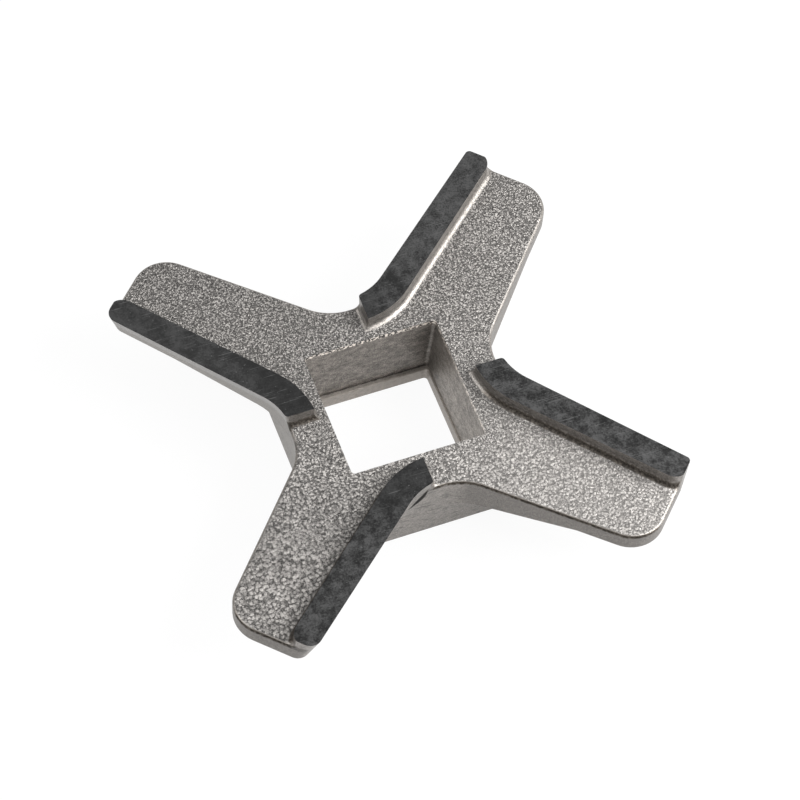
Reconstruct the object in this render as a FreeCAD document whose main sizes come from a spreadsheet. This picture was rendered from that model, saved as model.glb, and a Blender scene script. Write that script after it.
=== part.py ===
import FreeCAD, Part
import math
import os
import sys
import Sketcher

# Meat grinder knife: one piece of cast steel with four arms, lying on its boss with the cutting side up.
# The origin is the middle of the square drive hole on the bottom face of the boss, and +Z points up.
# The sides of the hole are parallel to X and Y, so the arms run along the diagonals.
# An arm's own frame has its first axis along the arm and its second axis towards its cutting edge.

doc = FreeCAD.newDocument("meat_grinder_knife")

# Driving sizes in millimetres and degrees, each with its own name.
SIZES = [
    ("tip_reach", 23.0, "from the middle of the knife to the flat end of an arm"),
    ("web_top", 7.3, "height of the cast web and hub above the bottom of the boss"),
    ("land_step", 1.3, "how far the ground lands stand above the web"),
    ("cut_offset_root", 5.98, "cutting edge from the arm's axis, measured abreast of the hole"),
    ("cut_offset_tip", 4.05, "cutting edge from the arm's axis at the tip"),
    ("rake_angle", 18.5, "how far the cutting face leans back under its edge"),
    ("trail_offset_root", 4.89, "trailing edge from the arm's axis, measured abreast of the hole"),
    ("trail_offset_tip", 3.62, "trailing edge from the arm's axis at the tip"),
    ("tip_corner_radius", 2.75, "large round corner at the trailing end of the tip"),
    ("edge_corner_radius", 0.35, "small round corner at the cutting end of the tip"),
    ("worn_corner_radius", 0.9, "the same corner on the two arms where it is worn rounder"),
    ("root_radius_trail", 4.4, "fillet between the trailing side and the hub"),
    ("root_radius_cut", 4.4, "fillet between the cutting face and the hub"),
    ("hub_side_web", 17.4, "hub width across its flats at the height of the web"),
    ("hub_draft", 3.92, "lean of the hub's sides from upright, inwards towards the bottom"),
    ("arm_thickness_tip", 1.6, "web thickness over the outer half of an arm"),
    ("arm_thickness_root", 2.95, "web thickness beside the boss"),
    ("slope_start", 11.0, "distance from the middle at which the arm's underside starts to rise"),
    ("slope_end", 17.6, "distance from the middle at which the underside becomes level"),
    ("land_width_root", 2.48, "width of the land, measured abreast of the hole"),
    ("land_width_tip", 2.18, "width of the land at the tip"),
    ("land_curve_radius", 6.6, "curve in which the rear edge of the land turns in at the hub"),
    ("land_end_gap", 1.05, "inner corner of the land from the mouth of the hole"),
    ("land_end_shift", 0.2, "inner end of the land from the middle line of the hub side"),
    ("land_corner_start", 1.12, "distance from the tip at which the land's rear corner starts to turn"),
    ("land_corner_radius", 1.25, "radius of that corner, which the tip's flat end cuts off"),
    ("step_fillet", 0.6, "fillet at the foot of the step between land and web"),
    ("web_edge_round", 0.3, "rounding along the top outline of the web"),
    ("hole_clear_side", 9.7, "square hole across flats through the ledge"),
    ("ledge_width", 0.375, "width of the ledge on three sides of the hole"),
    ("ledge_width_trimmed", 0.15, "width of the ledge on the +X side, where it was trimmed closer"),
    ("ledge_height", 1.3, "height of the ledge above the bottom of the boss"),
    ("hole_draft", 2.62, "lean of the hole's sides from upright, outwards above the ledge"),
    ("ledge_chamfer", 0.08, "chamfer on the inner edge of the ledge"),
    ("hole_corner_radius", 0.3, "radius in the corners of the hole"),
]

sheet = doc.addObject("Spreadsheet::Sheet", "Sizes")
for row, (alias, value, meaning) in enumerate(SIZES, start=1):
    sheet.set("A%d" % row, alias)
    sheet.set("B%d" % row, str(value))
    sheet.set("C%d" % row, meaning)
    sheet.setAlias("B%d" % row, alias)
doc.recompute()
size = {alias: float(sheet.get(alias)) for alias, value, meaning in SIZES}

body = doc.addObject("PartDesign::Body", "grinder_knife")
body.Label = "grinder_knife"


def origin_plane(role):
    return [feature for feature in body.Origin.OriginFeatures if feature.Role == role][0]


def origin_axis(role):
    return [feature for feature in body.Origin.OriginFeatures if feature.Role == role][0]


def new_sketch(name, role, offset, turn_axis=(0, 0, 1), turn=0.0):
    sketch = body.newObject("Sketcher::SketchObject", name)
    sketch.AttachmentSupport = [(origin_plane(role), "")]
    sketch.MapMode = "FlatFace"
    sketch.AttachmentOffset = FreeCAD.Placement(
        FreeCAD.Vector(*offset), FreeCAD.Rotation(FreeCAD.Vector(*turn_axis), turn))
    return sketch


def pin(sketch, geometry, end, axis, value, expression):
    # Ties one coordinate of a point to the sheet, measured from the sketch's origin.
    if expression == "0":
        sketch.addConstraint(Sketcher.Constraint("PointOnObject", geometry, end, -2 if axis == "X" else -1))
        return None
    if value >= 0:
        number = sketch.addConstraint(Sketcher.Constraint("Distance" + axis, -1, 1, geometry, end, value))
    else:
        number = sketch.addConstraint(Sketcher.Constraint("Distance" + axis, geometry, end, -1, 1, -value))
        expression = "-(%s)" % expression
    sketch.setExpression("Constraints[%d]" % number, expression)
    return number


def closed_outline(sketch, corners):
    # Corners are (x value, x expression, y value, y expression), joined by straight lines.
    count = len(corners)
    lines = []
    for k in range(count):
        x0, y0 = corners[k][0], corners[k][2]
        x1, y1 = corners[(k + 1) % count][0], corners[(k + 1) % count][2]
        lines.append(sketch.addGeometry(
            Part.LineSegment(FreeCAD.Vector(x0, y0, 0), FreeCAD.Vector(x1, y1, 0)), False))
    for k in range(count):
        sketch.addConstraint(Sketcher.Constraint("Coincident", lines[k], 2, lines[(k + 1) % count], 1))
    for k, (x, x_expression, y, y_expression) in enumerate(corners):
        pin(sketch, lines[k], 1, "X", x, x_expression)
        pin(sketch, lines[k], 1, "Y", y, y_expression)
    return lines


def volume_now(feature):
    doc.recompute()
    body.Tip = feature
    doc.recompute()
    return body.Shape.Volume


def square_corners(half, expression):
    minus = "-(%s)" % expression
    return [(-half, minus, -half, minus), (half, expression, -half, minus),
            (half, expression, half, expression), (-half, minus, half, expression)]


LAND_TOP = "(Sizes.web_top + Sizes.land_step)"
land_top = size["web_top"] + size["land_step"]

# Half widths of the square drive hole: through the ledge, just above it, and at its mouth in the web.
half_clear = size["hole_clear_side"] / 2
half_waist = half_clear + size["ledge_width"]
hole_lean = math.tan(math.radians(size["hole_draft"]))
half_mouth = half_waist + (size["web_top"] - size["ledge_height"]) * hole_lean
HALF_CLEAR = "Sizes.hole_clear_side / 2"
HALF_WAIST = "(%s + Sizes.ledge_width)" % HALF_CLEAR
HALF_MOUTH = "(%s + (Sizes.web_top - Sizes.ledge_height) * tan(Sizes.hole_draft * 1 deg))" % HALF_WAIST

# One arm in plan, drawn in the arm's own frame and padded over the full height of the knife.
# Its inner end lies inside the hub block.
arm_sketch = new_sketch("arm_outline", "XY_Plane", (0, 0, 0), (0, 0, 1), 45.0)
closed_outline(arm_sketch, [
    (0.0, "0", -size["trail_offset_root"], "-Sizes.trail_offset_root"),
    (size["tip_reach"], "Sizes.tip_reach", -size["trail_offset_tip"], "-Sizes.trail_offset_tip"),
    (size["tip_reach"], "Sizes.tip_reach", size["cut_offset_tip"], "Sizes.cut_offset_tip"),
    (0.0, "0", size["cut_offset_root"], "Sizes.cut_offset_root"),
])
arm = body.newObject("PartDesign::Pad", "arm")
arm.Profile = arm_sketch
arm.Length = land_top
arm.setExpression("Length", LAND_TOP)
volume_arm = volume_now(arm)

# The cutting face leans back under its edge: a wedge is taken off along the whole edge.
# The wedge's section is drawn square to the edge, abreast of the middle of the knife.
edge_turn = math.degrees(math.atan2(size["cut_offset_root"] - size["cut_offset_tip"], size["tip_reach"]))
EDGE_TURN = "atan((Sizes.cut_offset_root - Sizes.cut_offset_tip) / Sizes.tip_reach)"
rake_sketch = new_sketch("rake_section", "XZ_Plane", (0, 0, 0), (0, 1, 0), 135.0 - edge_turn)
rake_sketch.setExpression("AttachmentOffset.Rotation.Angle", "135 deg - " + EDGE_TURN)
edge_distance = size["cut_offset_root"] * math.cos(math.radians(edge_turn))
EDGE_DISTANCE = "Sizes.cut_offset_root * cos(%s)" % EDGE_TURN
lean = math.tan(math.radians(size["rake_angle"]))
LEAN = "tan(Sizes.rake_angle * 1 deg)"
closed_outline(rake_sketch, [
    (edge_distance, EDGE_DISTANCE, land_top, LAND_TOP),
    (edge_distance - (land_top + 1) * lean, "%s - (%s + 1) * %s" % (EDGE_DISTANCE, LAND_TOP, LEAN),
     -1.0, "-1"),
    (edge_distance + 1, EDGE_DISTANCE + " + 1", -1.0, "-1"),
    (edge_distance + 1, EDGE_DISTANCE + " + 1", land_top, LAND_TOP),
])
rake = body.newObject("PartDesign::Pocket", "rake")
rake.Profile = rake_sketch
rake.Reversed = True
rake.Length = size["tip_reach"] + 5
rake.setExpression("Length", "Sizes.tip_reach + 5")
volume_rake = volume_now(rake)
assert volume_rake < 0.97 * volume_arm, "the rake cut took too little off"

arms = body.newObject("PartDesign::PolarPattern", "arms")
arms.TransformMode = "Whole shape"
arms.Axis = (origin_axis("Z_Axis"), [""])
arms.Angle = 360
arms.Occurrences = 4
volume_arms = volume_now(arms)
assert volume_arms > 2.5 * volume_rake, "the arms were not repeated"


def tapered_block(kind, name, bottom, top, low, high):
    # A square block about Z with leaning sides. Each argument is (value, expression); sizes are half widths.
    block = body.newObject("PartDesign::%sWedge" % kind, name)
    block.AttachmentSupport = [(origin_plane("XY_Plane"), "")]
    block.MapMode = "FlatFace"
    block.AttachmentOffset = FreeCAD.Placement(
        FreeCAD.Vector(0, 0, 0), FreeCAD.Rotation(FreeCAD.Vector(1, 0, 0), 90))
    for prefix, (value, expression) in (("", bottom), ("2", top)):
        for axis in "XZ":
            setattr(block, "%s%smax" % (axis, prefix), value)
            setattr(block, "%s%smin" % (axis, prefix), -value)
            block.setExpression("%s%smax" % (axis, prefix), expression)
            block.setExpression("%s%smin" % (axis, prefix), "-(%s)" % expression)
    block.Ymin = low[0]
    block.Ymax = high[0]
    block.setExpression("Ymin", low[1])
    block.setExpression("Ymax", high[1])
    return block


# The hub block. Its sides lean in towards the bottom of the boss and run straight up to the land tops.
hub_lean = math.tan(math.radians(size["hub_draft"]))
HUB_LEAN = "tan(Sizes.hub_draft * 1 deg)"
half_web = size["hub_side_web"] / 2
half_bottom = half_web - size["web_top"] * hub_lean
half_land = half_web + size["land_step"] * hub_lean
HALF_WEB = "Sizes.hub_side_web / 2"
HALF_BOTTOM = "(%s - Sizes.web_top * %s)" % (HALF_WEB, HUB_LEAN)
HALF_LAND = "(%s + Sizes.land_step * %s)" % (HALF_WEB, HUB_LEAN)
hub = tapered_block("Additive", "hub", (half_bottom, HALF_BOTTOM), (half_land, HALF_LAND),
                    (0.0, "0"), (land_top, LAND_TOP))
volume_hub = volume_now(hub)
assert volume_hub > volume_arms, "the hub added nothing"


def arm_frame(point):
    # The point in the frame of the nearest arm: along the arm, and towards its cutting edge.
    angle = math.atan2(point.y, point.x)
    turn = math.radians(45 + 90 * round((math.degrees(angle) - 45) / 90))
    return (point.x * math.cos(turn) + point.y * math.sin(turn),
            -point.x * math.sin(turn) + point.y * math.cos(turn))


def edge_middle(edge):
    return edge.valueAt((edge.FirstParameter + edge.LastParameter) / 2)


def fillet(name, base, chosen, radius, expression):
    edges = []
    for number, edge in enumerate(base.Shape.Edges, start=1):
        if chosen(edge):
            edges.append("Edge%d" % number)
    assert edges, "no edges were found for " + name
    feature = body.newObject("PartDesign::Fillet", name)
    feature.Base = (base, edges)
    feature.Radius = radius
    feature.setExpression("Radius", expression)
    doc.recompute()
    body.Tip = feature
    doc.recompute()
    return feature


def hub_half_at(height):
    return half_bottom + height * hub_lean


def is_root_edge(edge):
    box = edge.BoundBox
    middle = edge_middle(edge)
    on_hub = abs(max(abs(middle.x), abs(middle.y)) - hub_half_at(middle.z)) < 1e-4
    return on_hub and box.ZLength > 0.9 * land_top


# Root fillets, drawn over the full height before the underside is taken away.
# Two of them meet on each flat side of the hub, so each takes up at most half of that flat.
trail_turn = math.degrees(math.atan2(size["trail_offset_root"] - size["trail_offset_tip"], size["tip_reach"]))
TRAIL_TURN = "atan((Sizes.trail_offset_root - Sizes.trail_offset_tip) / Sizes.tip_reach)"
root2 = math.sqrt(2)
flat_trail = ((half_web - size["trail_offset_root"] / root2) * math.tan(math.radians(45 + trail_turn))
              - size["trail_offset_root"] / root2)
flat_cut = ((half_web - size["cut_offset_root"] / root2) * math.tan(math.radians(45 + edge_turn))
            - size["cut_offset_root"] / root2)
FLAT_PART = "((%s - Sizes.%s / sqrt(2)) * tan(45 deg + %s) - Sizes.%s / sqrt(2))"
FLAT_TRAIL = FLAT_PART % (HALF_WEB, "trail_offset_root", TRAIL_TURN, "trail_offset_root")
FLAT_CUT = FLAT_PART % (HALF_WEB, "cut_offset_root", EDGE_TURN, "cut_offset_root")
half_flat = (flat_trail + flat_cut) / 2
HALF_FLAT = "(%s + %s) / 2" % (FLAT_TRAIL, FLAT_CUT)


def root_radius(alias, turn, turn_expression):
    # The named radius, or the largest one whose tangent ends on its half of the flat.
    limit = half_flat / math.tan(math.radians(45 - turn) / 2)
    expression = "min(Sizes.%s; %s / tan((45 deg - %s) / 2))" % (alias, HALF_FLAT, turn_expression)
    return min(size[alias], limit), expression


root_trail = fillet("root_trail", hub, lambda e: is_root_edge(e) and arm_frame(edge_middle(e))[1] < 0,
                    *root_radius("root_radius_trail", trail_turn, TRAIL_TURN))
root_cut = fillet("root_cut", root_trail, lambda e: is_root_edge(e) and arm_frame(edge_middle(e))[1] > 0,
                  *root_radius("root_radius_cut", edge_turn, EDGE_TURN))


def is_tip_edge(edge, cutting):
    along, across = arm_frame(edge_middle(edge))
    upright = edge.BoundBox.ZLength > 0.9 * land_top
    return upright and abs(along - size["tip_reach"]) < 1e-4 and (across > 0) == cutting


tip_corners = fillet("tip_corners", root_cut, lambda e: is_tip_edge(e, False),
                     size["tip_corner_radius"], "Sizes.tip_corner_radius")


def is_worn(edge):
    # The two arms that point to -X have the worn corners.
    return edge_middle(edge).x < 0


edge_corners = fillet("edge_corners", tip_corners, lambda e: is_tip_edge(e, True) and not is_worn(e),
                      size["edge_corner_radius"], "Sizes.edge_corner_radius")
worn_corners = fillet("worn_corners", edge_corners, lambda e: is_tip_edge(e, True) and is_worn(e),
                      size["worn_corner_radius"], "Sizes.worn_corner_radius")

# The underside of the arms: level over the outer half, and sloping down towards the boss.
under_sketch = new_sketch("underside_section", "XZ_Plane", (0, 0, 0))
under_tip = size["web_top"] - size["arm_thickness_tip"]
UNDER_TIP = "(Sizes.web_top - Sizes.arm_thickness_tip)"
under_axis = under_tip - ((size["arm_thickness_root"] - size["arm_thickness_tip"]) * size["slope_end"]
                          / (size["slope_end"] - size["slope_start"]))
UNDER_AXIS = ("%s - (Sizes.arm_thickness_root - Sizes.arm_thickness_tip) * Sizes.slope_end"
              " / (Sizes.slope_end - Sizes.slope_start)" % UNDER_TIP)
closed_outline(under_sketch, [
    (0.0, "0", -8.0, "-8"),
    (size["tip_reach"] + 5, "Sizes.tip_reach + 5", -8.0, "-8"),
    (size["tip_reach"] + 5, "Sizes.tip_reach + 5", under_tip, UNDER_TIP),
    (size["slope_end"], "Sizes.slope_end", under_tip, UNDER_TIP),
    (0.0, "0", under_axis, UNDER_AXIS),
])
underside = body.newObject("PartDesign::Groove", "underside")
underside.Profile = under_sketch
underside.ReferenceAxis = (under_sketch, ["V_Axis"])
underside.Angle = 360
volume_underside = volume_now(underside)
assert volume_underside < 0.8 * volume_hub, "the underside cut took too little off"

# The boss below the arms, with the same leaning sides as the hub above.
boss = tapered_block("Additive", "boss", (half_bottom, HALF_BOTTOM), (half_web, HALF_WEB),
                     (0.0, "0"), (size["web_top"], "Sizes.web_top"))
volume_boss = volume_now(boss)
assert volume_boss > 1.1 * volume_underside, "the boss added too little"

# The web: everything between the lands is lower. One arm's share is drawn and repeated.
web_sketch = new_sketch("web_outline", "XY_Plane", (0, 0, land_top), (0, 0, 1), 45.0)
web_sketch.setExpression("AttachmentOffset.Base.z", LAND_TOP)
end_x = size["land_end_shift"]
end_y = half_mouth + size["land_end_gap"]
END_Y = "(%s + Sizes.land_end_gap)" % HALF_MOUTH
end_along = (end_x + end_y) / root2
end_across = (end_y - end_x) / root2
END_ALONG = "((Sizes.land_end_shift + %s) / sqrt(2))" % END_Y
END_ACROSS = "((%s - Sizes.land_end_shift) / sqrt(2))" % END_Y
outer = size["tip_reach"] + 3
corner_along = size["tip_reach"] - size["land_corner_start"]
CORNER_ALONG = "(Sizes.tip_reach - Sizes.land_corner_start)"
rear_root = size["cut_offset_root"] - size["land_width_root"]
rear_tip = size["cut_offset_tip"] - size["land_width_tip"]
REAR_ROOT = "(Sizes.cut_offset_root - Sizes.land_width_root)"
REAR_TIP = "(Sizes.cut_offset_tip - Sizes.land_width_tip)"
rear_slope = (rear_root - rear_tip) / size["tip_reach"]
rear_angle = math.atan(rear_slope)
# The curve's centre lies on the land's side of its rear edge.
depth = (end_across - (rear_root - rear_slope * end_along)) * math.cos(rear_angle)
radius = size["land_curve_radius"]
run = math.sqrt(2 * radius * depth - depth * depth)
foot_along = end_along - depth * math.sin(rear_angle) + run * math.cos(rear_angle)
foot_across = rear_root - rear_slope * foot_along
centre_along = foot_along + radius * math.sin(rear_angle)
centre_across = foot_across + radius * math.cos(rear_angle)
start_angle = math.atan2(end_across - centre_across, end_along - centre_along)
stop_angle = math.atan2(foot_across - centre_across, foot_along - centre_along)
beyond = 4.0
# The land's rear corner turns towards the cutting edge and leaves the arm through the flat end of the tip.
corner_radius = size["land_corner_radius"]
corner_across = rear_root - rear_slope * corner_along
corner_centre_along = corner_along + corner_radius * math.sin(rear_angle)
corner_centre_across = corner_across + corner_radius * math.cos(rear_angle)
corner_start_angle = -math.pi / 2 - rear_angle
corner_stop_angle = -math.acos((size["tip_reach"] + 0.1 - corner_centre_along) / corner_radius)
corner_end_along = size["tip_reach"] + 0.1
corner_end_across = corner_centre_across + corner_radius * math.sin(corner_stop_angle)
rear_line = [(foot_along, foot_across), (corner_along, corner_across)]
points = [
    (corner_end_along, corner_end_across),
    (outer, rear_root),
    (outer, -size["trail_offset_root"] - 4),
    (end_across + beyond, -end_along - beyond),
    (end_across, -end_along),
    (-1.5, -0.5),
    (-1.5, 0.5),
    (end_along, end_across),
]
circle = Part.Circle(FreeCAD.Vector(centre_along, centre_across, 0), FreeCAD.Vector(0, 0, 1), radius)
curve = web_sketch.addGeometry(Part.ArcOfCircle(circle, start_angle, stop_angle), False)
corner_circle = Part.Circle(FreeCAD.Vector(corner_centre_along, corner_centre_across, 0),
                            FreeCAD.Vector(0, 0, 1), corner_radius)
corner = web_sketch.addGeometry(Part.ArcOfCircle(corner_circle, corner_start_angle, corner_stop_angle), False)


def web_line(first, second):
    return web_sketch.addGeometry(Part.LineSegment(
        FreeCAD.Vector(first[0], first[1], 0), FreeCAD.Vector(second[0], second[1], 0)), False)


rear = web_line(*rear_line)
web_lines = []
for k in range(len(points) - 1):
    web_lines.append(web_line(points[k], points[k + 1]))
for k in range(len(web_lines) - 1):
    web_sketch.addConstraint(Sketcher.Constraint("Coincident", web_lines[k], 2, web_lines[k + 1], 1))
web_sketch.addConstraint(Sketcher.Constraint("Coincident", web_lines[-1], 2, curve, 1))
web_sketch.addConstraint(Sketcher.Constraint("Tangent", curve, 2, rear, 1))
web_sketch.addConstraint(Sketcher.Constraint("Tangent", rear, 2, corner, 1))
web_sketch.addConstraint(Sketcher.Constraint("Coincident", corner, 2, web_lines[0], 1))
number = web_sketch.addConstraint(Sketcher.Constraint("Radius", curve, radius))
web_sketch.setExpression("Constraints[%d]" % number, "Sizes.land_curve_radius")
number = web_sketch.addConstraint(Sketcher.Constraint("Radius", corner, corner_radius))
web_sketch.setExpression("Constraints[%d]" % number, "Sizes.land_corner_radius")
pin(web_sketch, rear, 2, "X", corner_along, CORNER_ALONG)
pin(web_sketch, web_lines[0], 1, "X", corner_end_along, "Sizes.tip_reach + 0.1")
guide = web_sketch.addGeometry(Part.Point(FreeCAD.Vector(0, rear_root, 0)), True)
pin(web_sketch, guide, 1, "X", 0.0, "0")
pin(web_sketch, guide, 1, "Y", rear_root, REAR_ROOT)
web_sketch.addConstraint(Sketcher.Constraint("PointOnObject", guide, 1, rear))
guide_tip = web_sketch.addGeometry(Part.Point(FreeCAD.Vector(size["tip_reach"], rear_tip, 0)), True)
pin(web_sketch, guide_tip, 1, "X", size["tip_reach"], "Sizes.tip_reach")
pin(web_sketch, guide_tip, 1, "Y", rear_tip, REAR_TIP)
web_sketch.addConstraint(Sketcher.Constraint("PointOnObject", guide_tip, 1, rear))
expressions = [
    ("Sizes.tip_reach + 3", REAR_ROOT),
    ("Sizes.tip_reach + 3", "-Sizes.trail_offset_root - 4"),
    (END_ACROSS + " + 4", "-%s - 4" % END_ALONG),
    (END_ACROSS, "-" + END_ALONG),
    ("-1.5", "-0.5"),
    ("-1.5", "0.5"),
    (END_ALONG, END_ACROSS),
]
for k, (x_expression, y_expression) in enumerate(expressions):
    x, y = points[k + 1]
    for axis, value, expression in (("X", x, x_expression), ("Y", y, y_expression)):
        pin(web_sketch, web_lines[k], 2, axis, value, expression)

web = body.newObject("PartDesign::Pocket", "web")
web.Profile = web_sketch
web.Length = size["land_step"]
web.setExpression("Length", "Sizes.land_step")
volume_web = volume_now(web)
web_share = volume_boss - volume_web
assert web_share > 0.01 * volume_boss, "the web cut took too little off"
webs = body.newObject("PartDesign::PolarPattern", "webs")
webs.Originals = [web]
webs.Axis = (origin_axis("Z_Axis"), [""])
webs.Angle = 360
webs.Occurrences = 4
volume_webs = volume_now(webs)
assert volume_webs < volume_boss - 3 * web_share, "the web cut was not repeated"


def inside_at(shape, edge, rise):
    # Which of eight points around the edge's middle, raised or lowered a little, lie in the metal.
    middle = edge_middle(edge)
    found = []
    for k in range(8):
        turn = math.radians(45 * k + 10)
        point = middle + FreeCAD.Vector(0.1 * math.cos(turn), 0.1 * math.sin(turn), rise)
        found.append(shape.isInside(point, 1e-6, True))
    return found


def at_web(edge):
    box = edge.BoundBox
    middle = edge_middle(edge)
    outside = max(abs(middle.x), abs(middle.y)) > half_mouth
    return outside and abs(box.ZMax - size["web_top"]) < 1e-4 and box.ZLength < 1e-4


def is_step_foot(shape, edge):
    return at_web(edge) and any(inside_at(shape, edge, 0.1))


def is_outline(shape, edge):
    return at_web(edge) and not any(inside_at(shape, edge, 0.1)) and not all(inside_at(shape, edge, -0.1))


foot = fillet("step_foot", webs, lambda e: is_step_foot(webs.Shape, e),
              size["step_fillet"], "Sizes.step_fillet")
outline = fillet("outline", foot, lambda e: is_outline(foot.Shape, e),
                 size["web_edge_round"], "Sizes.web_edge_round")

# The square drive hole: slightly wider at its mouth, with a ledge near the bottom.
LEDGE = "Sizes.ledge_height"
before_hole = outline.Shape.Volume
mouth = tapered_block("Subtractive", "mouth", (half_waist, HALF_WAIST), (half_mouth, HALF_MOUTH),
                      (size["ledge_height"], LEDGE), (size["web_top"], "Sizes.web_top"))
mouth.Xmax = half_clear + size["ledge_width_trimmed"]
mouth.setExpression("Xmax", HALF_CLEAR + " + Sizes.ledge_width_trimmed")
volume_mouth = volume_now(mouth)
mouth_volume = 4 * half_waist ** 2 * (size["web_top"] - size["ledge_height"])
assert volume_mouth < before_hole - 0.9 * mouth_volume, "the mouth of the hole took too little off"


def is_hole_corner(edge, low, high):
    middle = edge_middle(edge)
    box = edge.BoundBox
    near = max(abs(middle.x), abs(middle.y)) < half_mouth + 0.01
    diagonal = abs(abs(middle.x) - abs(middle.y)) < size["ledge_width"]
    return near and diagonal and box.ZMin > low - 1e-4 and box.ZMax < high + 1e-4 and box.ZLength > 0.5


mouth_corners = fillet("mouth_corners", mouth,
                       lambda e: is_hole_corner(e, size["ledge_height"], size["web_top"]),
                       size["hole_corner_radius"], "Sizes.hole_corner_radius")
clear_sketch = new_sketch("clear_outline", "XY_Plane", (0, 0, 0))
closed_outline(clear_sketch, square_corners(half_clear, HALF_CLEAR))
clear = body.newObject("PartDesign::Pocket", "clear_hole")
clear.Profile = clear_sketch
clear.Reversed = True
clear.Length = size["ledge_height"] + 1
clear.setExpression("Length", LEDGE + " + 1")
volume_clear = volume_now(clear)
clear_volume = 4 * half_clear ** 2 * size["ledge_height"]
assert volume_clear < volume_mouth - 0.9 * clear_volume, "the clear hole took too little off"
clear_corners = fillet("clear_corners", clear, lambda e: is_hole_corner(e, 0.0, size["ledge_height"]),
                       size["hole_corner_radius"], "Sizes.hole_corner_radius")


def is_ledge_edge(edge):
    middle = edge_middle(edge)
    box = edge.BoundBox
    level = box.ZLength < 1e-4 and abs(box.ZMax - size["ledge_height"]) < 1e-4
    return level and max(abs(middle.x), abs(middle.y)) < half_clear + 1e-4


ledge = body.newObject("PartDesign::Chamfer", "ledge_chamfer")
ledge.Base = (clear_corners, ["Edge%d" % n for n, e in enumerate(clear_corners.Shape.Edges, start=1)
                              if is_ledge_edge(e)])
ledge.Size = size["ledge_chamfer"]
ledge.setExpression("Size", "Sizes.ledge_chamfer")
volume_ledge = volume_now(ledge)
assert volume_ledge < clear_corners.Shape.Volume, "the ledge was not bevelled"

# Nothing is written unless every feature is sound.
faults = []
for item in doc.Objects:
    if "Invalid" in item.State or "Error" in item.State:
        faults.append(item.Name)
shape = body.Shape
if shape.isNull() or not shape.isValid() or len(shape.Solids) != 1:
    faults.append("grinder_knife shape")
if faults:
    print("faults:", ", ".join(faults))
    sys.exit(1)
print("volume mm3", round(shape.Volume, 1), "area mm2", round(shape.Area, 1), "box", shape.BoundBox)
os.makedirs("parts", exist_ok=True)
shape.exportStep(os.path.join("parts", body.Label + ".step"))
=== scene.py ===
import bpy
import math
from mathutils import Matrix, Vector

# Meat grinder knife: one cast steel piece, lying on its boss with the ground cutting lands up.
# The shape is the CAD model's own. This script gives it its cast and ground surfaces, a floor,
# light and a camera.

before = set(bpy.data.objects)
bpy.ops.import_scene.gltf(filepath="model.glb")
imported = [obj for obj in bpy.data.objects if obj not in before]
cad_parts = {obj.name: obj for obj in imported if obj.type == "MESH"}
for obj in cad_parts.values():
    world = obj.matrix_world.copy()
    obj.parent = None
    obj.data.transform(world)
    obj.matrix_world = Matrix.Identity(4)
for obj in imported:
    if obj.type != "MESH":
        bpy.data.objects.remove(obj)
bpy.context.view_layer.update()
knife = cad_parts["grinder_knife"]

# Places on the knife, in millimetres: heights above the boss face, and half widths across flats.
MILLIMETRE = 0.001
WEB_TOP = 7.3
LAND_TOP = 8.6
LEDGE_TOP = 1.3
HUB_HALF = 8.7
WAIST_HALF = 5.225
# Walls nearer to the axis than this belong to the drive hole, whose mouth is 11 mm wide.
HOLE_REACH = 5.75

# The lap on the hub's -Y face: its middle, its direction in X and Z, and its sizes.
LAP_X = -1.3
LAP_Z = 6.3
LAP_ALONG_X = 0.51
LAP_ALONG_Z = 0.86
LAP_HALF_LENGTH = 1.4
LAP_HALF_WIDTH = 0.3
LAP_BEND = 0.2

# Painted shade, tinted dark brown, lies on the sides that face the first direction, and in the
# foot of the -X -Y arm's step, which faces the second one. Both are level directions of length 1.
PAINTED_SHADE_SIDE = (-0.5, -0.87)
PAINTED_SHADE_STEP_SIDE = (-0.66, 0.75)

# Linear greys.
ARM_SIDE_GREY = 0.15
HUB_SIDE_GREY = 0.195
RAKED_GREY = 0.21
UPPER_SIDE_GREY = 0.16
OUTLINE_GREY = 0.21
PAINTED_LIGHT_WALL_GREY = 0.2
PAINTED_SHADE_GREY = 0.012
FLAW_GREY = 0.05
LAP_GREY = 0.012
HOLE_WALL_Y_GREY = 0.17
HOLE_WALL_X_GREY = 0.24
LEDGE_GREY = 0.27
LEDGE_LINE_GREY = 0.03
PAINTED_RIM_HIGHLIGHT_GREY = 0.8
PAINTED_RIM_SHADE_GREY = 0.02
WEB_BRIGHTEST_GREY = 0.4
LAND_DARKEST_GREY = 0.005
LAND_PALEST_GREY = 0.066
LAND_INNER_GREY = 0.006
LAND_OUTER_GREY = 0.1
LAND_MARK_GREY = 0.13
FLOOR_GREY = 0.9
HORIZON_GREY = 0.18

# How much redder, and how much less blue, than a pure grey.
WEB_WARMTH = 0.05
SIDE_WARMTH = 0.08
PAINTED_SHADE_WARMTH = 0.2
HOLE_WARMTH = 0.1

# The finish.
METALLIC = 0.55
BUMP_DEPTH = 0.06 * MILLIMETRE
CAST_ROUGHNESS = (0.36, 0.52)
LAND_ROUGHNESS = (0.42, 0.6)
OUTLINE_ROUGHNESS = 0.3
LAP_ROUGHNESS = 1.0

# Noise textures: features a millimetre, or the same along X, Y and Z, then detail and roughness.
PATCHES = (0.12, 2.0, 0.5)
FINE = (11.0, 3.0, 0.6)
SAND = (16.0, 1.0, 0.5)
COARSE = (4.0, 2.0, 0.6)
HOLLOWS = (7.0, 2.0, 0.6)
SPECKS = (5.0, 1.0, 0.5)
BLOTCHES = (0.8, 4.0, 0.7)
PITS = (6.0, 2.0, 0.6)
FLAWS = ((1.1, 1.1, 4.5), 3.0, 0.6)
MOTTLE = ((1.6, 1.6, 3.0), 4.0, 0.7)
LINES = ((0.35, 9.0, 1.0), 3.0, 0.6)
SCRATCHES = ((0.45, 12.0, 1.0), 1.0, 0.5)

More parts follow.
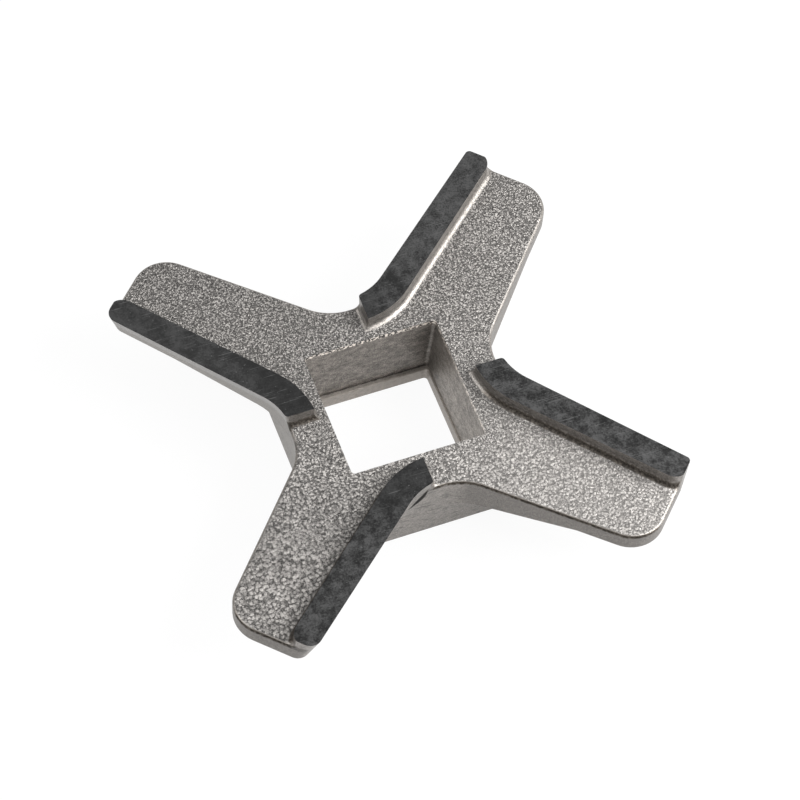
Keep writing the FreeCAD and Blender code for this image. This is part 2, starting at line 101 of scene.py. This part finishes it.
# Grains a millimetre. The finest are 0.16 mm wide. The others take over where the casting is
# coarser, each between its two values of coarseness.
FINEST_GRAINS = 6.3
COARSER_GRAINS = ((4.5, 0.05, 0.35), (3.7, 0.6, 0.95))
# The noise that bends the grains out of round: features a millimetre, detail and how far it bends.
BEND_DENSITY = 5.0
BEND_DETAIL = 1.0
BEND_REACH = 0.25


class Tree:
    """Short calls for building one node tree."""

    def __init__(self, tree):
        self.tree = tree
        self.tree.nodes.clear()

    def add(self, kind, inputs=None, **settings):
        node = self.tree.nodes.new(kind)
        for name, value in settings.items():
            setattr(node, name, value)
        for name, value in (inputs or {}).items():
            if isinstance(value, bpy.types.NodeSocket):
                self.tree.links.new(value, node.inputs[name])
            else:
                node.inputs[name].default_value = value
        return node

    def maths(self, operation, first, second=0.0):
        return self.add("ShaderNodeMath", {0: first, 1: second}, operation=operation).outputs[0]

    def times(self, *values):
        product = values[0]
        for value in values[1:]:
            product = self.maths("MULTIPLY", product, value)
        return product

    def plus(self, first, second):
        return self.maths("ADD", first, second)

    def minus(self, first, second):
        return self.maths("SUBTRACT", first, second)

    def inverse(self, value):
        return self.minus(1.0, value)

    def larger(self, first, second):
        return self.maths("MAXIMUM", first, second)

    def size(self, value):
        return self.maths("ABSOLUTE", value)

    def weighted(self, *parts):
        # A sum of values, each times its share.
        total = self.times(*parts[0])
        for part in parts[1:]:
            total = self.plus(total, self.times(*part))
        return total

    def rise(self, value, start, end):
        # 0 before start and 1 after end, with a smooth change between them. start may be the larger.
        if start > end:
            return self.inverse(self.rise(value, end, start))
        return self.add("ShaderNodeMapRange", {"Value": value, "From Min": start, "From Max": end},
                        interpolation_type="SMOOTHSTEP").outputs[0]

    def spread(self, value, low, high):
        # A value of 0 to 1 stretched to low to high.
        return self.add("ShaderNodeMapRange", {"Value": value, "To Min": low, "To Max": high}).outputs[0]

    def varied(self, texture, low, high):
        # The middle range of a texture stretched to low to high.
        return self.spread(self.rise(texture, 0.3, 0.7), low, high)

    def mix(self, factor, first, second):
        # From one colour to another.
        return self.add("ShaderNodeMix", {0: factor, 6: first, 7: second}, data_type="RGBA").outputs[2]

    def blend(self, factor, first, second):
        # From one number to another.
        return self.add("ShaderNodeMix", {0: factor, 2: first, 3: second}, data_type="FLOAT").outputs[0]


class Steel(Tree):
    """The knife's node tree, with the places, masks and textures that its surfaces share."""

    def __init__(self, tree):
        super().__init__(tree)
        in_metres = self.add("ShaderNodeTexCoord").outputs["Object"]
        self.place = self.scaled(in_metres, (1 / MILLIMETRE,) * 3)
        self.x, self.y, self.z = self.add("ShaderNodeSeparateXYZ", {0: self.place}).outputs
        self.across = self.larger(self.size(self.x), self.size(self.y))
        normal = self.add("ShaderNodeNewGeometry").outputs["Normal"]
        self.facing_x, self.facing_y, self.slope = self.add("ShaderNodeSeparateXYZ", {0: normal}).outputs

        # Where each kind of surface lies.
        self.ground = self.times(self.rise(self.z, LAND_TOP - 0.1, LAND_TOP - 0.03),
                                 self.rise(self.slope, 0.8, 0.95))
        self.web = self.times(self.rise(self.slope, 0.88, 0.98),
                              self.rise(self.z, WEB_TOP - 0.25, WEB_TOP - 0.1),
                              self.inverse(self.ground))
        self.hole = self.times(self.rise(self.across, HOLE_REACH, HOLE_REACH - 0.1),
                               self.rise(self.slope, -0.9, -0.6))
        self.hub_side = self.rise(self.across, HUB_HALF + 0.5, HUB_HALF + 0.1)
        self.raked = self.rise(self.slope, -0.15, -0.25)
        self.upper = self.rise(self.z, WEB_TOP - 0.35, WEB_TOP - 0.15)

        # The grain is coarser towards -Y and a little towards -X. A ramp towards +X -Y carries painted
        # light on the web, and sets how even its grain and the lands are.
        toward_coarse = self.weighted((self.y, -0.05), (self.x, -0.02))
        self.coarser = self.plus(toward_coarse, self.spread(self.noise(PATCHES), -0.5, 0.5))
        self.painted_light_and_calm = self.rise(self.times(self.minus(self.x, self.y), 0.03), -0.6, 0.8)
        self.fine = self.noise(FINE)
        self.coarse = self.noise(COARSE)
        self.lines = self.noise(LINES)

    def scaled(self, vector, scale):
        return self.add("ShaderNodeVectorMath", {0: vector, 1: scale}, operation="MULTIPLY").outputs[0]

    def noise(self, texture):
        density, detail, roughness = texture
        vector = self.place
        if isinstance(density, tuple):
            vector = self.scaled(self.place, density)
            density = 1.0
        return self.add("ShaderNodeTexNoise", {
            "Vector": vector, "Scale": density, "Detail": detail, "Roughness": roughness}).outputs["Fac"]

    def tinted(self, value, warmth):
        # A grey from a number, warmer where warmth is above 0.
        red = self.times(value, self.plus(warmth, 1.0))
        blue = self.times(value, self.inverse(warmth))
        return self.add("ShaderNodeCombineColor", {0: red, 1: value, 2: blue}).outputs[0]

    def grains(self, place, density):
        # The height of each grain's dome, and one random shade for each grain.
        cells = self.add("ShaderNodeTexVoronoi", {"Vector": place, "Scale": density})
        shade = self.add("ShaderNodeSeparateColor", {0: cells.outputs["Color"]}).outputs[0]
        return self.inverse(cells.outputs["Distance"]), shade

    def cast_web(self):
        # The cast grain's colour, and its height for the bump.
        stray = self.add("ShaderNodeTexNoise", {
            "Vector": self.place, "Scale": BEND_DENSITY, "Detail": BEND_DETAIL}).outputs["Color"]
        bent_place = self.add("ShaderNodeVectorMath", {0: stray, 1: (BEND_REACH,) * 3, 2: self.place},
                              operation="MULTIPLY_ADD").outputs[0]
        height, shade = self.grains(bent_place, FINEST_GRAINS)
        for density, start, end in COARSER_GRAINS:
            share = self.rise(self.coarser, start, end)
            coarse_height, coarse_shade = self.grains(bent_place, density)
            height = self.blend(share, height, coarse_height)
            shade = self.blend(share, shade, coarse_shade)
        height = self.plus(height, self.spread(self.fine, -0.3, 0.3))

        # Dark gaps between grains from mid grey to nearly white, with sand on both. The large
        # grains differ less from their gaps.
        large = self.rise(self.coarser, 0.0, 0.8)
        gaps = self.blend(large, self.rise(height, 0.36, 0.72), self.rise(height, 0.24, 0.65))
        sand = self.rise(self.noise(SAND), 0.3, 0.7)
        grain_share = self.spread(large, 1.1, 0.7)
        sand_share = self.spread(large, 0.42, 0.36)
        level = self.spread(large, 0.03, -0.015)
        speckle = self.times(gaps, self.spread(shade, 0.3, 1.0), grain_share)
        speckle = self.plus(self.plus(speckle, self.times(sand, sand_share)), level)

        # Towards +X -Y the grains differ less: part of each gives way to the mean speckle.
        calm = self.rise(self.painted_light_and_calm, 0.45, 1.0)
        mean_speckle = 0.56
        speckle = self.blend(self.times(calm, 0.3), speckle, mean_speckle)
        hollows = self.rise(self.noise(HOLLOWS), 0.34, 0.5)
        # The web's grey carries painted light: lighter towards +X -Y and at the -X -Y arm's coarse tip.
        web_grey = self.times(self.spread(speckle, 0.0, WEB_BRIGHTEST_GREY),
                              self.spread(self.painted_light_and_calm, 1.02, 1.39),
                              self.spread(self.rise(self.coarser, 0.75, 1.15), 1.0, 1.16),
                              self.blend(hollows, self.spread(large, 0.5, 0.8), 1.0))
        web_height = self.weighted((gaps, self.spread(calm, 0.85, 0.7)), (self.coarse, 0.4))
        return self.tinted(web_grey, WEB_WARMTH), web_height

    def facing(self, direction):
        # How straight a surface faces a level direction. The level part of a steep normal is
        # short, so it is measured against its own length.
        smallest_square = 0.0004
        level_square = self.inverse(self.times(self.slope, self.slope))
        level_length = self.maths("SQRT", self.larger(level_square, smallest_square))
        toward = self.weighted((self.facing_x, direction[0]), (self.facing_y, direction[1]))
        return self.maths("DIVIDE", toward, level_length)

    def lap(self):
        # One curved lap that the mould left on the hub's -Y face, beside the -X -Y arm.
        from_x = self.minus(self.x, LAP_X)
        from_z = self.minus(self.z, LAP_Z)
        along = self.weighted((from_x, LAP_ALONG_X), (from_z, LAP_ALONG_Z))
        over = self.weighted((from_x, LAP_ALONG_Z), (from_z, -LAP_ALONG_X))
        bow = self.inverse(self.times(along, along, 1 / LAP_HALF_LENGTH ** 2))
        edge = self.minus(self.size(self.minus(over, self.times(bow, LAP_BEND))),
                          self.times(bow, LAP_HALF_WIDTH))
        return self.times(self.rise(edge, 0.1, -0.12), self.rise(self.y, -8.0, -8.2),
                          self.rise(self.slope, 0.5, 0.3))

    def cast_side(self, lap):
        # The smoother cast walls outside the hole.
        wall = self.blend(self.raked, self.blend(self.hub_side, ARM_SIDE_GREY, HUB_SIDE_GREY), RAKED_GREY)
        outline = self.blend(self.rise(self.slope, 0.25, 0.6), UPPER_SIDE_GREY, OUTLINE_GREY)
        wall = self.blend(self.upper, wall, outline)

        # Painted shade, tinted dark brown, in the foot of the step and under the web's outline, with a
        # ragged edge. Above it the step's wall is painted paler.
        shade_side = self.facing(PAINTED_SHADE_SIDE)
        step_side = self.facing(PAINTED_SHADE_STEP_SIDE)
        ragged = self.plus(self.z, self.spread(self.coarse, -0.2, 0.2))
        foot_side = self.larger(self.times(self.rise(shade_side, 0.7, 0.84), self.rise(self.y, 4.0, 2.5)),
                                self.times(self.rise(step_side, 0.75, 0.9), self.rise(self.y, -5.0, -8.0)))
        in_foot = self.times(self.rise(ragged, WEB_TOP + 0.5, WEB_TOP + 0.25),
                             self.rise(self.z, WEB_TOP, WEB_TOP + 0.003), foot_side)
        in_outline = self.times(self.rise(ragged, WEB_TOP - 0.3, WEB_TOP - 0.16),
                                self.rise(self.z, WEB_TOP, WEB_TOP - 0.005),
                                self.rise(self.slope, 0.9, 0.7), self.rise(shade_side, 0.45, 0.62))
        shade_patchiness = self.spread(self.rise(self.coarse, 0.35, 0.6), 0.6, 0.95)
        # How strong the painted shade is, in the foot and under the outline.
        scale = self.times(self.larger(in_foot, in_outline), self.inverse(self.raked), shade_patchiness)
        wall = self.blend(scale, wall, PAINTED_SHADE_GREY)
        painted_light_wall = self.times(foot_side, self.rise(ragged, WEB_TOP + 0.35, WEB_TOP + 0.6))
        wall = self.blend(painted_light_wall, wall, PAINTED_LIGHT_WALL_GREY)

        # Small dark flaws along the sides of the hub.
        flaws = self.times(self.rise(self.noise(FLAWS), 0.55, 0.63), self.hub_side, 0.6)
        wall = self.blend(flaws, wall, FLAW_GREY)
        wall = self.blend(lap, wall, LAP_GREY)
        wall = self.times(wall, self.varied(self.fine, 0.68, 1.32), self.varied(self.coarse, 0.82, 1.18))
        return self.tinted(wall, self.spread(scale, SIDE_WARMTH, PAINTED_SHADE_WARMTH))

    def hole_wall(self):
        # The walls across X are paler, and are painted with shade towards +Y.
        across_x = self.rise(self.size(self.facing_x), 0.5, 0.9)
        painted_shade_end = self.times(across_x, self.rise(self.y, 1.5, 4.5))
        wall = self.times(self.blend(across_x, HOLE_WALL_Y_GREY, HOLE_WALL_X_GREY),
                          self.varied(self.fine, 0.55, 1.45), self.varied(self.noise(MOTTLE), 0.6, 1.4),
                          self.spread(painted_shade_end, 1.0, 0.6))
        on_ledge = self.rise(self.z, LEDGE_TOP + 0.05, LEDGE_TOP - 0.05)
        wall = self.blend(on_ledge, wall, self.times(self.spread(self.coarse, 0.6, 1.4), LEDGE_GREY))

        # A dark line where the ledge meets the wall, and painted highlight and shade spots along the rim.
        wander = self.spread(self.coarse, -0.12, 0.12)
        ragged = self.plus(self.z, wander)
        line = self.times(self.rise(ragged, LEDGE_TOP - 0.1, LEDGE_TOP),
                          self.rise(ragged, LEDGE_TOP + 0.12, LEDGE_TOP + 0.02),
                          self.rise(self.plus(self.across, wander), WAIST_HALF - 0.1, WAIST_HALF - 0.02))
        wall = self.blend(self.times(line, 0.85), wall, LEDGE_LINE_GREY)
        rim = self.rise(ragged, WEB_TOP - 0.42, WEB_TOP - 0.25)
        painted_highlight_spots = self.times(rim, self.rise(self.coarse, 0.48, 0.54))
        painted_shade_spots = self.times(rim, self.inverse(across_x), self.rise(self.coarse, 0.5, 0.44))
        wall = self.blend(painted_highlight_spots, wall, PAINTED_RIM_HIGHLIGHT_GREY)
        wall = self.blend(painted_shade_spots, wall, PAINTED_RIM_SHADE_GREY)
        return self.tinted(wall, HOLE_WARMTH)

    def ground_land(self):
        # Dark and blotched, with fine grinding lines along X. The -X +Y arm's land is more even.
        uneven = self.weighted((self.lines, 0.08), (self.noise(BLOTCHES), 0.5), (self.noise(PITS), 0.24),
                               (self.fine, 0.18))
        land = self.spread(self.rise(uneven, 0.4, 0.62), LAND_DARKEST_GREY, LAND_PALEST_GREY)
        land = self.blend(self.rise(self.painted_light_and_calm, 0.35, 0.0), land, self.spread(land, 0.014, 0.5))

        # The inner ends of the -X side's lands are darker, and the +X +Y land's outer end is paler.
        inner = self.times(self.rise(self.across, 12.0, 8.0), self.rise(self.x, 2.5, -0.5), 0.6)
        outer = self.times(self.rise(self.y, 8.0, 14.0), self.rise(self.x, 0.0, 4.0),
                           self.rise(self.fine, 0.3, 0.7), 0.35)
        land = self.blend(inner, land, LAND_INNER_GREY)
        land = self.blend(outer, land, LAND_OUTER_GREY)

        # A few light scratches where the casting isn't coarse, and specks.
        scratches = self.times(self.rise(self.noise(SCRATCHES), 0.66, 0.76),
                               self.rise(self.coarser, 0.9, 0.3))
        specks = self.rise(self.noise(SPECKS), 0.68, 0.8)
        marks = self.times(self.larger(scratches, specks), 0.55)
        return self.blend(marks, land, LAND_MARK_GREY)


def grey(value):
    # A linear grey.
    return (value, value, value, 1.0)


def steel_material():
    material = bpy.data.materials.new("cast_and_ground_steel")
    material.use_nodes = True
    steel = Steel(material.node_tree)
    lap = steel.lap()
    web_colour, web_height = steel.cast_web()
    colour = steel.mix(steel.hole, steel.cast_side(lap), steel.hole_wall())
    colour = steel.mix(steel.web, colour, web_colour)
    colour = steel.mix(steel.ground, colour, steel.ground_land())

    side_height = steel.weighted((steel.fine, 0.25), (steel.coarse, 0.25))
    height = steel.blend(steel.web, side_height, web_height)
    height = steel.blend(steel.ground, height, steel.times(steel.lines, 0.06))
    bump = steel.add("ShaderNodeBump", {"Height": height, "Strength": 1.0, "Distance": BUMP_DEPTH})

    outline = steel.times(steel.upper, steel.inverse(steel.larger(steel.web, steel.ground)))
    roughness = steel.blend(steel.ground, steel.spread(steel.coarse, *CAST_ROUGHNESS),
                            steel.spread(steel.lines, *LAND_ROUGHNESS))
    roughness = steel.blend(outline, roughness, OUTLINE_ROUGHNESS)
    roughness = steel.blend(lap, roughness, LAP_ROUGHNESS)
    shader = steel.add("ShaderNodeBsdfPrincipled", {
        "Base Color": colour, "Roughness": roughness, "Metallic": METALLIC, "Normal": bump.outputs[0]})
    steel.add("ShaderNodeOutputMaterial", {"Surface": shader.outputs[0]})
    return material


knife.data.materials.clear()
knife.data.materials.append(steel_material())


def floor_material():
    # White for the camera and for reflections, with a part of the plain surface left in so that
    # a shadow shows.
    white_share = 0.93
    material = bpy.data.materials.new("white_table")
    material.use_nodes = True
    tree = Tree(material.node_tree)
    rays = tree.add("ShaderNodeLightPath")
    plain = tree.add("ShaderNodeBsdfDiffuse", {"Color": grey(FLOOR_GREY)})
    white = tree.add("ShaderNodeEmission", {"Color": grey(1.0), "Strength": 1.0})
    seen = tree.larger(rays.outputs["Is Camera Ray"], rays.outputs["Is Glossy Ray"])
    seen = tree.times(seen, white_share)
    seen = tree.larger(seen, rays.outputs["Is Transmission Ray"])
    surface = tree.add("ShaderNodeMixShader", {0: seen, 1: plain.outputs[0], 2: white.outputs[0]})
    tree.add("ShaderNodeOutputMaterial", {"Surface": surface.outputs[0]})
    return material


# The floor lies just under the boss face, so that the two don't share one plane.
FLOOR_HALF = 3.0
FLOOR_DROP = 0.00002
floor_mesh = bpy.data.meshes.new("table")
floor_mesh.from_pydata([(-FLOOR_HALF, -FLOOR_HALF, -FLOOR_DROP), (FLOOR_HALF, -FLOOR_HALF, -FLOOR_DROP),
                        (FLOOR_HALF, FLOOR_HALF, -FLOOR_DROP), (-FLOOR_HALF, FLOOR_HALF, -FLOOR_DROP)],
                       [], [(0, 1, 2, 3)])
floor = bpy.data.objects.new("table", floor_mesh)
bpy.context.scene.collection.objects.link(floor)
floor.data.materials.append(floor_material())


def soft_light(name, azimuth, elevation, distance, width, power):
    # A square soft box that faces the knife. The angles are in degrees, from +X and above the floor.
    turn = math.radians(azimuth)
    lift = math.radians(elevation)
    level = math.cos(lift)
    place = Vector((math.cos(turn) * level, math.sin(turn) * level, math.sin(lift))) * distance
    data = bpy.data.lights.new(name, "AREA")
    data.shape = "SQUARE"
    data.size = width
    data.energy = power
    light = bpy.data.objects.new(name, data)
    light.location = place
    light.rotation_euler = (-place).to_track_quat("-Z", "Y").to_euler()
    bpy.context.scene.collection.objects.link(light)


soft_light("key_right", azimuth=-26, elevation=37, distance=0.16, width=0.13, power=0.53)
soft_light("fill_left", azimuth=165, elevation=42, distance=0.50, width=0.30, power=1.05)


def sky():
    # Dim near the horizon and lighter overhead, and white for the camera.
    world = bpy.data.worlds.new("studio")
    bpy.context.scene.world = world
    world.use_nodes = True
    tree = Tree(world.node_tree)
    direction = tree.add("ShaderNodeTexCoord").outputs["Generated"]
    height = tree.add("ShaderNodeSeparateXYZ", {0: direction}).outputs[2]
    room_colour = tree.mix(tree.rise(height, 0.35, 0.95), grey(HORIZON_GREY), grey(1.0))
    room = tree.add("ShaderNodeBackground", {"Color": room_colour, "Strength": 1.0})
    white = tree.add("ShaderNodeBackground", {"Color": grey(1.0), "Strength": 1.0})
    camera_ray = tree.add("ShaderNodeLightPath").outputs["Is Camera Ray"]
    surface = tree.add("ShaderNodeMixShader", {0: camera_ray, 1: room.outputs[0], 2: white.outputs[0]})
    tree.add("ShaderNodeOutputWorld", {"Surface": surface.outputs[0]})


sky()

# The camera stands where the photograph's perspective puts it: about 240 mm from the knife, on
# its -Y side. Metres, degrees and millimetres of lens.
CAMERA_PLACE = (-0.05012, -0.11084, 0.20805)
CAMERA_TURN = (31.0587, -2.3996, -20.5614)
FOCAL_LENGTH = 136.454
SENSOR_WIDTH = 36.0
NEAREST = 0.01
FURTHEST = 20.0
camera_data = bpy.data.cameras.new("camera")
camera_data.sensor_fit = "HORIZONTAL"
camera_data.sensor_width = SENSOR_WIDTH
camera_data.lens = FOCAL_LENGTH
camera_data.clip_start = NEAREST
camera_data.clip_end = FURTHEST
camera = bpy.data.objects.new("camera", camera_data)
camera.location = CAMERA_PLACE
camera.rotation_mode = "XYZ"
camera.rotation_euler = [math.radians(angle) for angle in CAMERA_TURN]
bpy.context.scene.collection.objects.link(camera)
bpy.context.scene.camera = camera
bpy.context.scene.view_settings.view_transform = "Standard"
